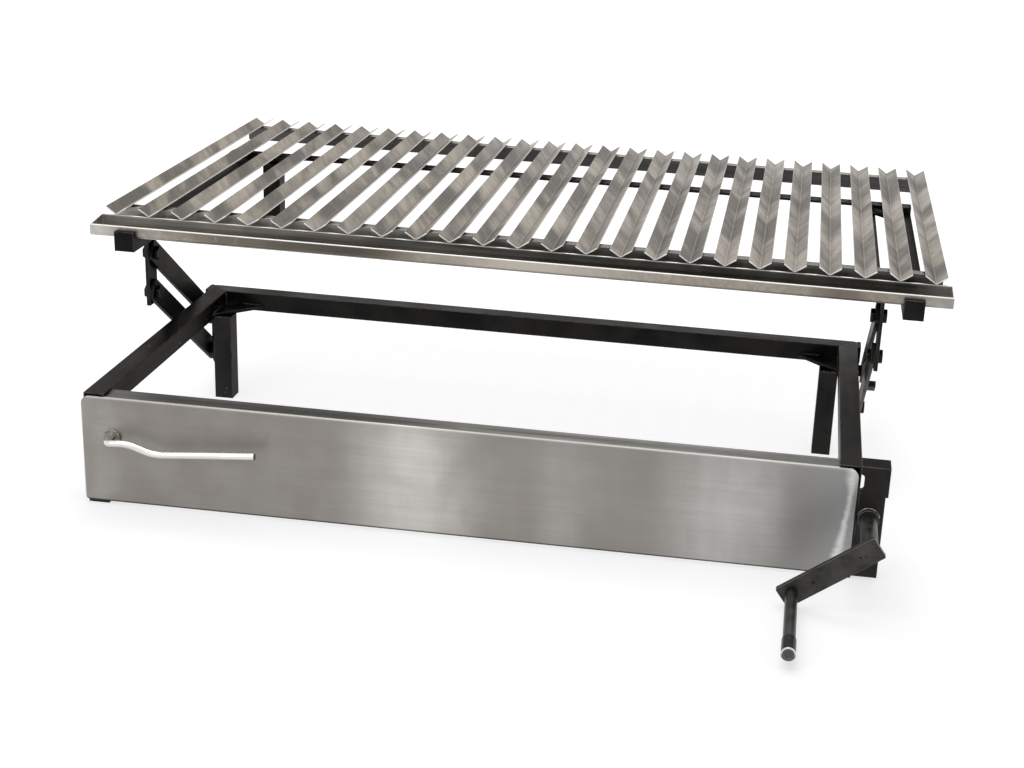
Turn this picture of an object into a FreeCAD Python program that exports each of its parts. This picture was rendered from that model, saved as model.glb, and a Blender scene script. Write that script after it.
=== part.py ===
# Argentine grill: a grate of V slats on a carrier that two pairs of parallel arms raise and
# lower over a tube base, with a crank and a lever at the front. Millimetres.
# The object stands on Z = 0 and faces -Y. X = 0 and Y = 0 are the middle of its outline.
# Pieces are drawn in shop coordinates: X from the middle of the base, Y back from the front of
# its beams, Z up from the ground. Their placements then move them by the same two lengths.
import FreeCAD, Part
import math
import os
import Sketcher

# Driving sizes. Each is written once, and every other length is worked out from them.
SIZES = {
    # square tube that the base and the carrier are welded from
    "tube_side": 25.0,
    "tube_wall": 2.0,
    "tube_corner": 5.0,
    # base frame
    "base_width": 920.0,
    "base_depth": 450.0,
    "base_height": 141.0,
    "foot_cap": 3.0,
    "rear_leg_inset": 54.0,
    "brace_width": 25.0,
    "brace_thick": 4.0,
    "brace_lift": 4.0,
    "brace_corner": 20.6,
    # front panel
    "panel_thick": 2.5,
    "panel_left": 463.0,
    "panel_right": 457.0,
    "panel_low": 4.0,
    "panel_high": 138.0,
    "panel_flange": 25.0,
    "panel_bend": 1.5,
    "panel_top_round": 11.0,
    "panel_low_round": 5.0,
    "panel_flange_gap": 0.5,
    # crank bracket, bent from sheet
    "bracket_thick": 3.0,
    "bracket_width": 30.0,
    "bracket_depth": 27.0,
    "bracket_low": 3.0,
    "bracket_ear": 36.0,
    "bracket_slot_width": 4.0,
    "bracket_slot_drop": 10.0,
    "bracket_slot_height": 18.0,
    # crank
    "shaft_radius": 10.0,
    "shaft_out": 13.0,
    "shaft_height": 77.4,
    "shaft_chamfer": 1.0,
    "bearing_wall": 2.2,
    "bearing_front": 6.0,
    "bearing_back": 22.0,
    "collar_thick": 4.0,
    "collar_rim": 3.0,
    "crank_reach": 100.0,
    "crank_angle": 36.0,
    "crank_arm_width": 27.0,
    "crank_arm_thick": 6.0,
    "crank_arm_front": 92.0,
    "crank_arm_end": 13.0,
    "crank_arm_round": 2.0,
    "handle_radius": 7.0,
    "handle_tip": 230.0,
    "grip_radius": 8.0,
    "grip_length": 30.0,
    "grip_chamfer": 1.5,
    "grip_dish_radius": 5.0,
    "grip_dish_depth": 1.2,
    # lever
    "lever_radius": 4.5,
    "lever_left": 425.5,
    "lever_height": 88.5,
    "lever_reach": 181.5,
    "lever_knee": 26.5,
    "lever_knee_rise": 2.5,
    "lever_elbow": 58.5,
    "lever_elbow_drop": 8.5,
    "lever_end_rise": 2.0,
    "lever_stand_off": 25.0,
    "lever_tail": 15.0,
    "lever_bend": 9.0,
    "lever_sweep": 55.0,
    "lever_collar_thick": 3.0,
    "lever_collar_rim": 4.5,
    "bush_rim": 5.5,
    "bush_front": 4.0,
    # parallel arms
    "arm_length": 243.0,
    "arm_angle": 36.3,
    "arm_width": 28.0,
    "arm_thick": 5.0,
    "arm_end": 14.0,
    "arm_round": 3.0,
    "arm_spacing": 54.0,
    "arm_tab_length": 20.0,
    "arm_tab_height": 8.0,
    "arm_tab_out": 12.0,
    "arm_tab_share": 0.45,
    "pivot_behind": 8.0,
    "pivot_low": 42.0,
    "pivot_radius": 5.0,
    # lugs and their bolts
    "lug_thick": 5.0,
    "rear_lug_width": 24.0,
    "rear_lug_foot": 22.0,
    "rear_lug_shoulder": 8.0,
    "front_lug_width": 26.0,
    "front_lug_drop": 16.0,
    "spacer_length": 4.2,
    "spacer_rim": 3.0,
    "nut_thick": 5.0,
    "nut_flats": 16.0,
    # carrier
    "left_rail_past_lug": 2.7,
    "right_rail_past_lug": 42.7,
    "rail_ahead": 100.2,
    "rail_length": 446.0,
    "rail_above_pivot": 28.6,
    "rail_cap": 4.0,
    "notch_depth": 9.5,
    "rear_bar_width": 20.0,
    "rear_bar_thick": 4.0,
    "carrier_brace_corner": 23.0,
    "tie_right": 472.0,
    "tie_thick": 6.0,
    "tie_depth": 20.0,
    "post_left": 430.0,
    "post_length": 90.0,
    # grease tray
    "tray_length": 1073.0,
    "tray_ahead": 93.2,
    "tray_width": 38.0,
    "tray_front_height": 14.8,
    "tray_back_height": 19.0,
    "tray_sheet": 1.5,
    "tray_bend": 4.0,
    # grate
    "slat_count": 25.0,
    "slat_pitch": 43.0,
    "slat_half_width": 14.0,
    "slat_slope": 34.0,
    "slat_sheet": 1.5,
    "slat_bend": 2.0,
    "slat_ahead": 59.2,
    "slat_length": 590.0,
    "bed_rise": 10.5,
    "support_sheet": 2.0,
    "support_notch_high": 5.0,
    "support_flange": 14.0,
    "support_front_inset": 23.0,
    "support_back_inset": 48.0,
    "support_back_drop": 15.0,
    "support_overhang": 4.0,
    # clearances and overrun
    "running_gap": 0.09,
    "side_gap": 0.3,
    "open_pivot_gap": 0.3,
    "overrun": 5.0,
}

document = FreeCAD.newDocument("argentine_grill")
sheet = document.addObject("Spreadsheet::Sheet", "Sizes")
for row, (alias, number) in enumerate(SIZES.items(), start=1):
    sheet.set("A%d" % row, alias)
    sheet.set("B%d" % row, str(number))
    sheet.setAlias("B%d" % row, alias)
document.recompute()


class Size:
    """A length or an angle: its number, and the formula that ties it to the spreadsheet."""

    def __init__(self, number, formula):
        self.number = number
        self.formula = formula

    def joined(self, other, sign, number):
        return Size(number, "(%s %s %s)" % (self.formula, sign, formula_of(other)))

    def __add__(self, other):
        return self.joined(other, "+", self.number + number_of(other))

    def __sub__(self, other):
        return self.joined(other, "-", self.number - number_of(other))

    def __mul__(self, other):
        return self.joined(other, "*", self.number * number_of(other))

    def __truediv__(self, other):
        return self.joined(other, "/", self.number / number_of(other))

    def __neg__(self):
        return Size(-self.number, "(-1 * %s)" % self.formula)


def number_of(value):
    return value.number if isinstance(value, Size) else value


def formula_of(value):
    return value.formula if isinstance(value, Size) else str(value)


def sine(angle):
    return Size(math.sin(math.radians(angle.number)), "sin(%s)" % angle.formula)


def cosine(angle):
    return Size(math.cos(math.radians(angle.number)), "cos(%s)" % angle.formula)


class Cells:
    """The spreadsheet's cells as sizes, one attribute for each alias."""

    def __init__(self, names):
        for alias in names:
            setattr(self, alias, Size(float(sheet.get(alias)), "Sizes." + alias))


s = Cells(SIZES)
ZERO = Size(0.0, "0")
EIGHTH_TURN = Size(45.0, "45")
TWELFTH_TURN = Size(30.0, "30")
LEFT = -1
RIGHT = 1

# Places that several pieces share
base_half = s.base_width / 2
beam_low = s.base_height - s.tube_side
beam_inside = base_half - s.tube_side
rear_inside = s.base_depth - s.tube_side
brace_low = beam_low + s.brace_lift
pivot_back = s.base_depth + s.pivot_behind
lug_outside = base_half + s.lug_thick
arm_inside = lug_outside + s.spacer_length + s.side_gap
arm_outside = arm_inside + s.arm_thick
front_lug_inside = arm_outside + s.side_gap
front_lug_outside = front_lug_inside + s.lug_thick
pivot_high = s.pivot_low + s.arm_spacing
front_pivot_back = pivot_back - s.arm_length * cosine(s.arm_angle)
front_pivot_low = s.pivot_low + s.arm_length * sine(s.arm_angle)
front_pivot_high = front_pivot_low + s.arm_spacing
rail_low = front_pivot_high + s.rail_above_pivot
rail_high = rail_low + s.tube_side
tray_low = rail_high - s.notch_depth
slat_bed = rail_high + s.bed_rise
bar_high = slat_bed - s.side_gap
bar_low = bar_high - s.rear_bar_thick
gusset_low = rail_high - s.brace_thick / 2
upper_offset = (s.right_rail_past_lug - s.left_rail_past_lug) / 2
rail_half = front_lug_outside + (s.right_rail_past_lug + s.left_rail_past_lug) / 2
rail_inside = rail_half - s.tube_side
rail_front = front_pivot_back - s.rail_ahead
rail_back = rail_front + s.rail_length
bar_front = rail_back - s.rear_bar_width
tray_front = front_pivot_back - s.tray_ahead
tray_back = tray_front + s.tray_width
slat_front = front_pivot_back - s.slat_ahead
slat_back = slat_front + s.slat_length
shaft_across = base_half + s.shaft_out
shift_across = -upper_offset
shift_back = (s.handle_tip - slat_back) / 2


def place(piece, across=ZERO, back=ZERO, up=ZERO, axis=None, angle=None):
    """Moves a piece from its own drawing to its place on the object."""
    if axis is not None:
        piece.Placement = FreeCAD.Placement(
            FreeCAD.Vector(), FreeCAD.Rotation(axis, angle.number))
        piece.setExpression("Placement.Rotation.Angle", angle.formula)
    piece.setExpression("Placement.Base.x", (across + shift_across).formula)
    piece.setExpression("Placement.Base.y", (back + shift_back).formula)
    piece.setExpression("Placement.Base.z", up.formula)


def new_body(label):
    body = document.addObject("PartDesign::Body", label)
    body.Label = label
    return body


def origin_plane(body, role):
    for feature in body.Origin.OriginFeatures:
        if feature.Role == role:
            return feature
    raise RuntimeError("no origin plane " + role)


def bind(sketch, constraint, size):
    index = sketch.addConstraint(constraint)
    sketch.setExpression("Constraints[%d]" % index, size.formula)


def add_circle(sketch, across, up, radius):
    centre = FreeCAD.Vector(across.number, up.number, 0)
    axis = FreeCAD.Vector(0, 0, 1)
    index = sketch.addGeometry(Part.Circle(centre, axis, radius.number), False)
    bind(sketch, Sketcher.Constraint("DistanceX", -1, 1, index, 3, across.number), across)
    bind(sketch, Sketcher.Constraint("DistanceY", -1, 1, index, 3, up.number), up)
    bind(sketch, Sketcher.Constraint("Radius", index, radius.number), radius)


def arc_between(start, end, radius):
    """The shorter arc from start to end: radius is positive where it turns to the left."""
    chord = end - start
    middle = (start + end) * 0.5
    rise = math.sqrt(max(radius * radius - chord.Length ** 2 / 4, 0.0))
    left = FreeCAD.Vector(-chord.y, chord.x, 0).normalize()
    centre = middle + left * math.copysign(rise, radius)
    first, last = (start, end) if radius > 0 else (end, start)
    angles = [math.atan2(point.y - centre.y, point.x - centre.x) for point in (first, last)]
    circle = Part.Circle(centre, FreeCAD.Vector(0, 0, 1), abs(radius))
    return Part.ArcOfCircle(circle, angles[0], angles[1])


def add_loop(sketch, corners):
    """A closed outline. A corner is (x, y), or (x, y, radius) where an arc starts at it."""
    points = [FreeCAD.Vector(corner[0].number, corner[1].number, 0) for corner in corners]
    starts = []
    ends = []
    for place_in_loop, corner in enumerate(corners):
        start = points[place_in_loop]
        end = points[(place_in_loop + 1) % len(points)]
        if len(corner) == 3:
            index = sketch.addGeometry(arc_between(start, end, corner[2].number), False)
            size = corner[2] if corner[2].number > 0 else -corner[2]
            bind(sketch, Sketcher.Constraint("Radius", index, size.number), size)
            forward = corner[2].number > 0
            starts.append((index, 1 if forward else 2))
            ends.append((index, 2 if forward else 1))
        else:
            index = sketch.addGeometry(Part.LineSegment(start, end), False)
            starts.append((index, 1))
            ends.append((index, 2))
    for place_in_loop, corner in enumerate(corners):
        start = starts[place_in_loop]
        sketch.addConstraint(Sketcher.Constraint("Coincident", *ends[place_in_loop - 1], *start))
        across, up = corner[0], corner[1]
        bind(sketch, Sketcher.Constraint("DistanceX", -1, 1, *start, across.number), across)
        bind(sketch, Sketcher.Constraint("DistanceY", -1, 1, *start, up.number), up)


def profile(body, name, role, level, loops):
    """A sketch on one of the body's own origin planes, level away along its normal."""
    sketch = body.newObject("Sketcher::SketchObject", name)
    sketch.AttachmentSupport = [(origin_plane(body, role), "")]
    sketch.MapMode = "FlatFace"
    sketch.setExpression("AttachmentOffset.Base.z", level.formula)
    for loop in loops:
        if isinstance(loop, tuple):
            add_circle(sketch, *loop)
        else:
            add_loop(sketch, loop)
    return sketch


def extrude(body, kind, name, role, low, high, loops):
    """Pads or pockets loops between two levels. The XZ plane looks along -Y."""
    level = -high if role == "XZ_Plane" else low
    sketch = profile(body, name + "_sketch", role, level, loops)
    feature = body.newObject(kind, name)
    feature.Profile = sketch
    feature.setExpression("Length", (high - low).formula)
    body.Tip = feature
    return feature


def pad(body, name, role, low, high, *loops):
    feature = extrude(body, "PartDesign::Pad", name, role, low, high, loops)
    document.recompute()
    return feature


def cut(body, name, role, low, high, *loops):
    before = body.Shape.Volume
    feature = extrude(body, "PartDesign::Pocket", name, role, low, high, loops)
    feature.Reversed = True
    document.recompute()
    if not body.Shape.Volume < before:
        raise RuntimeError(body.Label + ": " + name + " removes nothing")
    return feature


def round_edges(body, name, radius, wanted):
    """Rounds the edges that wanted picks by their middle and their direction."""
    base = body.Tip
    names = []
    for index, edge in enumerate(base.Shape.Edges, start=1):
        straight = isinstance(edge.Curve, Part.Line)
        if straight and wanted(edge.CenterOfMass, edge.tangentAt(edge.FirstParameter)):
            names.append("Edge%d" % index)
    feature = body.newObject("PartDesign::Fillet", name)
    feature.Base = (base, names)
    feature.setExpression("Radius", radius.formula)
    body.Tip = feature
    document.recompute()
    return feature


def box_loop(left, low, right, high):
    return [(left, low), (right, low), (right, high), (left, high)]


def round_box_loop(left, low, right, high, radius):
    return [
        (left + radius, low), (right - radius, low, radius), (right, low + radius),
        (right, high - radius, radius), (right - radius, high), (left + radius, high, radius),
        (left, high - radius), (left, low + radius, radius),
    ]


def tube_loops(left, low):
    """The section of the square tube: its outside and its bore."""
    wall = s.tube_wall
    side = s.tube_side
    return (
        box_loop(left, low, left + side, low + side),
        box_loop(left + wall, low + wall, left + side - wall, low + side - wall),
    )


def sided(side, corners):
    """Corners drawn for the right-hand side, mirrored for the left-hand one."""
    if side == RIGHT:
        return corners
    mirrored = []
    for corner in corners:
        mirrored.append((-corner[0],) + tuple(corner[1:2]) + tuple(-size for size in corner[2:]))
    return mirrored


def tube_start(side, inside):
    """The lower X of a tube whose inner side lies at inside, on either side."""
    return inside if side == RIGHT else -(inside + s.tube_side)


def between(side, near, far):
    """Two distances from the middle as a low and a high X, on either side."""
    return (near, far) if side == RIGHT else (-far, -near)


def group(label, members):
    compound = document.addObject("Part::Compound", label)
    compound.Label = label
    compound.Links = members
    return compound


# Base frame
def mitre_corners(outer):
    """The corner that both beams share: where the mitre starts, and where its rounding is."""
    reach = s.tube_corner * (Size(1.0, "1") - cosine(EIGHTH_TURN))
    return (base_half - reach, s.base_depth - reach) if outer else (beam_inside, rear_inside)


def side_beam(label, side):
    body = new_body(label)
    pad(body, "section", "XZ_Plane", ZERO, s.base_depth,
        *tube_loops(tube_start(side, beam_inside), beam_low))
    inner = mitre_corners(False)
    tip = mitre_corners(True)
    over = s.overrun
    waste = [
        inner, (tip[0], tip[1], -s.tube_corner), (base_half, s.base_depth - s.tube_corner),
        (base_half + over, s.base_depth - s.tube_corner), (base_half + over, s.base_depth + over),
        (beam_inside - over, s.base_depth + over), (beam_inside - over, rear_inside),
    ]
    cut(body, "mitre", "XY_Plane", beam_low - over, s.base_height + over, sided(side, waste))
    place(body)
    return body


def rear_beam():
    body = new_body("rear_beam")
    pad(body, "section", "YZ_Plane", -base_half, base_half, *tube_loops(rear_inside, beam_low))
    inner = mitre_corners(False)
    tip = mitre_corners(True)
    over = s.overrun
    waste = [
        inner, (beam_inside, rear_inside - over), (base_half + over, rear_inside - over),
        (base_half + over, s.base_depth + over), (base_half - s.tube_corner, s.base_depth + over),
        (base_half - s.tube_corner, s.base_depth, -s.tube_corner), tip,
    ]
    cut(body, "mitres", "XY_Plane", beam_low - over, s.base_height + over,
        sided(RIGHT, waste), sided(LEFT, waste))
    place(body)
    return body


def leg(label, side, inside, front, height):
    """A leg of square tube with a closed foot."""
    body = new_body(label)
    outline, bore = tube_loops(tube_start(side, inside), front)
    pad(body, "leg", "XY_Plane", ZERO, height, outline)
    cut(body, "bore", "XY_Plane", s.foot_cap, height, bore)
    place(body)
    return body


def corner_brace(label, side, across, back, corner, low, high, middle):
    """A flat bar across the corner at (across, back), corner away from it along both sides."""
    slant = s.brace_width / cosine(EIGHTH_TURN)
    body = new_body(label)
    strip = [
        (across, back - corner), (across - corner, back),
        (across - corner - slant, back), (across, back - corner - slant),
    ]
    pad(body, "bar", "XY_Plane", low, high, sided(side, strip))
    place(body, across=middle)
    return body


def front_panel():
    body = new_body("front_panel")
    bend_in = s.panel_bend
    bend_out = s.panel_bend + s.panel_thick
    section = [
        (-s.panel_thick, s.panel_low), (ZERO, s.panel_low),
        (ZERO, s.panel_high - bend_out, -bend_in),
        (bend_in, s.panel_high - s.panel_thick),
        (s.panel_flange, s.panel_high - s.panel_thick),
        (s.panel_flange, s.panel_high),
        (bend_in, s.panel_high, bend_out), (-s.panel_thick, s.panel_high - bend_out),
    ]
    pad(body, "sheet", "YZ_Plane", -s.panel_left, s.panel_right, section)
    clear = beam_inside - s.panel_flange_gap
    over = s.overrun
    cut(body, "flange_ends", "XY_Plane", s.panel_high - bend_out, s.panel_high + over,
        box_loop(clear, ZERO, s.panel_right + over, s.panel_flange + over),
        box_loop(-(s.panel_left + over), ZERO, -clear, s.panel_flange + over))
    cut(body, "lever_hole", "XZ_Plane", -(s.panel_thick + over), over,
        (-s.lever_left, s.lever_height, s.lever_radius + s.bush_rim - s.bearing_wall))

    def low_corner(middle, direction):
        along_y = abs(direction.y) > abs(direction.x)
        return along_y and abs(middle.z - s.panel_low.number) < s.side_gap.number

    round_edges(body, "low_corners", s.panel_low_round, low_corner)
    top = s.panel_high - s.panel_top_round
    waste = [
        (s.panel_right, top, s.panel_top_round), (s.panel_right - s.panel_top_round, s.panel_high),
        (s.panel_right - s.panel_top_round, s.panel_high + over),
        (s.panel_right + over, s.panel_high + over), (s.panel_right + over, top),
    ]
    left = [(corner[0] + s.panel_left - s.panel_right,) + tuple(corner[1:]) for corner in waste]
    cut(body, "top_corners", "XZ_Plane", -(s.panel_thick + over), over, waste, sided(LEFT, left))
    place(body)
    return body


def crank_bracket():
    """A web beside the leg, with a flange on top and an ear at the upper right."""
    body = new_body("crank_bracket")
    right = base_half + s.bracket_width
    edge = right + s.bracket_thick
    ear_low = s.base_height - s.bracket_ear
    slot_high = s.base_height - s.bracket_slot_drop
    slot_low = slot_high - s.bracket_slot_height
    slot = s.bracket_slot_width
    web = [
        (base_half, s.bracket_low), (right, s.bracket_low), (right, ear_low), (edge, ear_low),
        (edge, s.base_height), (base_half, s.base_height), (base_half, slot_high, -slot),
        (base_half + slot, slot_high - slot), (base_half + slot, slot_low + slot, -slot),
        (base_half, slot_low),
    ]
    bore = (shaft_across, s.shaft_height, s.shaft_radius + s.running_gap + s.bearing_wall)
    pad(body, "web", "XZ_Plane", ZERO, s.bracket_thick, web, bore)
    pad(body, "ear", "YZ_Plane", right, edge,
        box_loop(ZERO, ear_low, s.bracket_depth, s.base_height))
    pad(body, "flange", "XY_Plane", s.base_height - s.bracket_thick, s.base_height,
        box_loop(base_half, ZERO, edge, s.bracket_depth))
    place(body)
    return body


def ring(label, across, up, front, back, inner, outer):
    body = new_body(label)
    pad(body, "ring", "XZ_Plane", front, back, (across, up, outer), (across, up, inner))
    place(body)
    return body


def crank_bearing():
    inner = s.shaft_radius + s.running_gap
    return ring("crank_bearing", shaft_across, s.shaft_height, -s.bearing_front,
                s.bearing_back, inner, inner + s.bearing_wall)


def lever_bush():
    """A shouldered bush: its neck fills the panel's hole and its rim lies on the sheet."""
    neck = s.lever_radius + s.bush_rim - s.bearing_wall
    body = new_body("lever_bush")
    hole = (-s.lever_left, s.lever_height, s.lever_radius + s.running_gap)
    pad(body, "rim", "XZ_Plane", -(s.panel_thick + s.bush_front), -s.panel_thick,
        (-s.lever_left, s.lever_height, s.lever_radius + s.bush_rim), hole)
    pad(body, "neck", "XZ_Plane", -s.panel_thick, ZERO,
        (-s.lever_left, s.lever_height, neck), hole)
    place(body)
    return body


def rear_lug(label, side):
    """A plate on the beam's outer side that carries both rear pivots behind the frame."""
    half = s.rear_lug_width / 2
    front = pivot_back - half
    back = pivot_back + half
    foot = s.pivot_low - s.rear_lug_foot + half
    plate = [
        (front, foot, half), (pivot_back, foot - half, half), (back, foot),
        (back, s.base_height - s.tube_side), (s.base_depth, s.base_height),
        (rear_inside, s.base_height), (rear_inside, beam_low - s.rear_lug_shoulder + half),
        (front, beam_low - s.rear_lug_shoulder),
    ]
    body = new_body(label)
    low, high = between(side, base_half, lug_outside)
    holes = [(pivot_back, up, s.pivot_radius) for up in (s.pivot_low, pivot_high)]
    pad(body, "plate", "YZ_Plane", low, high, plate, *holes)
    place(body)
    return body


def hexagon(back, up):
    """A hexagon across its flats, with a corner up."""
    flat = s.nut_flats / 2
    point = flat / cosine(TWELFTH_TURN)
    return [
        (back, up + point), (back - flat, up + point / 2), (back - flat, up - point / 2),
        (back, up - point), (back + flat, up - point / 2), (back + flat, up + point / 2),
    ]


def pivot_bolt(label, side, back, up, inner, outer, spacer):
    """A bolt through lug and arm, from the inner face of its head to the outer end of its nut."""
    body = new_body(label)
    shank = (back, up, s.pivot_radius)
    nut = hexagon(back, up)
    pad(body, "shank", "YZ_Plane", *between(side, inner, outer), shank)
    pad(body, "head", "YZ_Plane", *between(side, inner - s.nut_thick, inner), nut)
    pad(body, "nut", "YZ_Plane", *between(side, outer, outer + s.nut_thick), nut)
    if spacer:
        rim = (back, up, s.pivot_radius + s.spacer_rim)
        pad(body, "spacer", "YZ_Plane",
            *between(side, lug_outside, lug_outside + s.spacer_length), rim)
    place(body)
    return body


# Parallel arms
def arm(label, side, up, front_hole, tab):
    """A flat bar drawn level, from its rear pivot towards -Y, then turned to its rest angle."""
    half = s.arm_width / 2
    front = -(s.arm_length + s.arm_end)
    body = new_body(label)
    low, high = between(side, arm_inside, arm_outside)
    pad(body, "bar", "YZ_Plane", low, high,
        round_box_loop(front, -half, s.arm_end, half, s.arm_round),
        (ZERO, ZERO, s.pivot_radius + s.running_gap),
        (-s.arm_length, ZERO, s.pivot_radius + front_hole))
    if tab:
        middle = -(s.arm_length * s.arm_tab_share)
        near, far = between(side, arm_outside, arm_outside + s.arm_tab_out)
        pad(body, "tab", "YZ_Plane", near, far, box_loop(
            middle - s.arm_tab_length / 2, -s.arm_tab_height / 2,
            middle + s.arm_tab_length / 2, s.arm_tab_height / 2))
    place(body, back=pivot_back, up=up, axis=FreeCAD.Vector(1, 0, 0), angle=-s.arm_angle)
    return body


# Carrier
def rail(label, side):
    """A tube with a closed front end, notched behind it for the tray."""
    left = tube_start(side, rail_inside)
    outline, bore = tube_loops(left, rail_low)
    body = new_body(label)
    pad(body, "tube", "XZ_Plane", rail_front, rail_back, outline)
    cut(body, "bore", "XZ_Plane", rail_front + s.rail_cap, rail_back, bore)
    cut(body, "tray_notch", "YZ_Plane", left - s.overrun, left + s.tube_side + s.overrun,
        box_loop(tray_front - s.side_gap, tray_low, tray_back + s.side_gap, rail_high + s.overrun))
    place(body, across=upper_offset)
    return body


def front_cross_bar():
    body = new_body("front_cross_bar")
    pad(body, "section", "YZ_Plane", -rail_inside, rail_inside,
        *tube_loops(front_pivot_back - s.tube_side / 2, rail_low))
    place(body, across=upper_offset)
    return body


def rear_cross_bar():
    """A thin flat bar close under the slats, on a foot on top of each rail."""
    half = rail_half
    body = new_body("rear_cross_bar")
    pad(body, "bar", "XZ_Plane", bar_front, rail_back, [
        (-half, rail_high), (-rail_inside, rail_high), (-rail_inside, bar_low),
        (rail_inside, bar_low), (rail_inside, rail_high), (half, rail_high),
        (half, bar_high), (-half, bar_high),
    ])
    place(body, across=upper_offset)
    return body


def tie_and_post():
    """A flat bar on edge at the right, and a short open tube that hangs at the left.

    Both lie against the underside of the corner braces."""
    tie = new_body("carrier_tie")
    pad(tie, "bar", "XZ_Plane", front_pivot_back + s.tube_side / 2, rail_back,
        box_loop(s.tie_right - s.tie_thick, gusset_low - s.tie_depth, s.tie_right, gusset_low))
    place(tie)
    post = new_body("rear_post")
    pad(post, "tube", "XY_Plane", gusset_low - s.post_length, gusset_low,
        *tube_loops(-s.post_left, rail_back - s.tube_side))
    place(post)
    return group("tie_and_post", [tie, post])


def front_lug(label, side):
    """A flat bar that hangs from the carrier and holds the front ends of both arms."""
    half = s.front_lug_width / 2
    low, high = between(side, front_lug_inside, front_lug_outside)
    body = new_body(label)
    pad(body, "bar", "YZ_Plane", low, high,
        box_loop(front_pivot_back - half, front_pivot_low - s.front_lug_drop,
                 front_pivot_back + half, rail_low),
        (front_pivot_back, front_pivot_low, s.pivot_radius),
        (front_pivot_back, front_pivot_high, s.pivot_radius))
    place(body)
    return body


# Grease tray
def grease_tray():
    """A folded gutter with a low front wall, a higher back wall and closed ends."""
    half = s.tray_length / 2
    sheet_thick = s.tray_sheet
    bend = s.tray_bend
    front = tray_front
    outside = [
        (front + bend, tray_low), (tray_back - bend, tray_low, bend),
        (tray_back, tray_low + bend), (tray_back, tray_low + s.tray_back_height),
        (front, tray_low + s.tray_front_height), (front, tray_low + bend, bend),
    ]
    inner = bend - sheet_thick
    inside = [
        (front + bend, tray_low + sheet_thick),
        (tray_back - bend, tray_low + sheet_thick, inner),
        (tray_back - sheet_thick, tray_low + bend),
        (tray_back - sheet_thick, tray_low + s.tray_back_height + s.overrun),
        (front + sheet_thick, tray_low + s.tray_back_height + s.overrun),
        (front + sheet_thick, tray_low + bend, inner),
    ]
    body = new_body("grease_tray")
    pad(body, "gutter", "YZ_Plane", -half, half, outside)
    cut(body, "trough", "YZ_Plane", sheet_thick - half, half - sheet_thick, inside)
    place(body, across=upper_offset)
    return body


# Grate
def slat_sides():
    """The lower end and the top of a slat's right outer side, about its own middle."""
    bend = s.slat_bend + s.slat_sheet
    lean, level = sine(s.slat_slope), cosine(s.slat_slope)
    flat = (s.slat_half_width - bend * lean) / level
    foot = (bend * lean, slat_bed + bend - bend * level)
    return bend, lean, level, foot, (foot[0] + flat * level, foot[1] + flat * lean)


def notch_loop(middle):
    """The sharp V that a slat lies in, open at the top."""
    bend, _, level, _, top = slat_sides()
    point = slat_bed + bend - bend / level
    high = top[1] + s.overrun
    return [
        (middle, point), (middle + top[0], top[1]), (middle + top[0], high),
        (middle - top[0], high), (middle - top[0], top[1]),
    ]


def slat_loop():
    """The V of a slat about its own middle, a strip bent along its length."""
    bend, lean, level, foot, top = slat_sides()
    inner_foot = (s.slat_bend * lean, slat_bed + bend - s.slat_bend * level)
    inner_top = (top[0] - s.slat_sheet * lean, top[1] + s.slat_sheet * level)
    return [
        (-foot[0], foot[1], bend), foot, top, inner_top, (inner_foot[0], inner_foot[1], -s.slat_bend),
        (-inner_foot[0], inner_foot[1]), (-inner_top[0], inner_top[1]), (-top[0], top[1]),
    ]


def slat(number):
    body = new_body("slat_%02d" % number)
    pad(body, "strip", "XZ_Plane", slat_front, slat_back, slat_loop())
    steps = number - (s.slat_count.number + 1) / 2
    place(body, across=upper_offset + s.slat_pitch * steps)
    return body


def support(label, front, low):
    """A folded angle under the slats, with a V notch for each one."""
    high = slat_bed + s.support_notch_high
    half = s.slat_pitch * (s.slat_count - 1) / 2 + s.slat_half_width - s.support_overhang
    thick = s.support_sheet
    body = new_body(label)
    pad(body, "angle", "YZ_Plane", -half, half, [
        (front, low), (front + thick, low), (front + thick, high - thick),
        (front + s.support_flange, high - thick), (front + s.support_flange, high), (front, high),
    ])
    first = notch_loop(-(s.slat_pitch * (s.slat_count - 1) / 2))
    notch = cut(body, "notch", "XZ_Plane", front - s.overrun,
                front + s.support_flange + s.overrun, first)
    row = body.newObject("PartDesign::LinearPattern", "notches")
    row.Originals = [notch]
    row.Direction = (notch.Profile[0], ["H_Axis"])
    row.setExpression("Length", (s.slat_pitch * (s.slat_count - 1)).formula)
    row.Occurrences = int(s.slat_count.number)
    body.Tip = row
    document.recompute()
    place(body, across=upper_offset)
    return body


# Crank
def crank_shaft():
    body = new_body("crank_shaft")
    middle = (ZERO, ZERO, s.shaft_radius)
    behind = s.bearing_back + s.side_gap
    pad(body, "shaft", "XZ_Plane", -s.crank_arm_front, behind + s.collar_thick * 2, middle)
    pad(body, "collar", "XZ_Plane", behind, behind + s.collar_thick,
        (ZERO, ZERO, s.shaft_radius + s.collar_rim))
    place(body, across=shaft_across, up=s.shaft_height)
    return body


def crank_arm():
    """A flat bar drawn along -X from the shaft, then turned down to its rest angle."""
    half = s.crank_arm_width / 2
    body = new_body("crank_arm")
    back = -(s.crank_arm_front - s.crank_arm_thick)
    pad(body, "bar", "XZ_Plane", -s.crank_arm_front, back,
        round_box_loop(-(s.crank_reach + s.crank_arm_end), -half, s.crank_arm_end, half,
                       s.crank_arm_round),
        (ZERO, ZERO, s.shaft_radius), (-s.crank_reach, ZERO, s.handle_radius))
    place(body, across=shaft_across, up=s.shaft_height,
          axis=FreeCAD.Vector(0, 1, 0), angle=-s.crank_angle)
    return body


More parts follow.
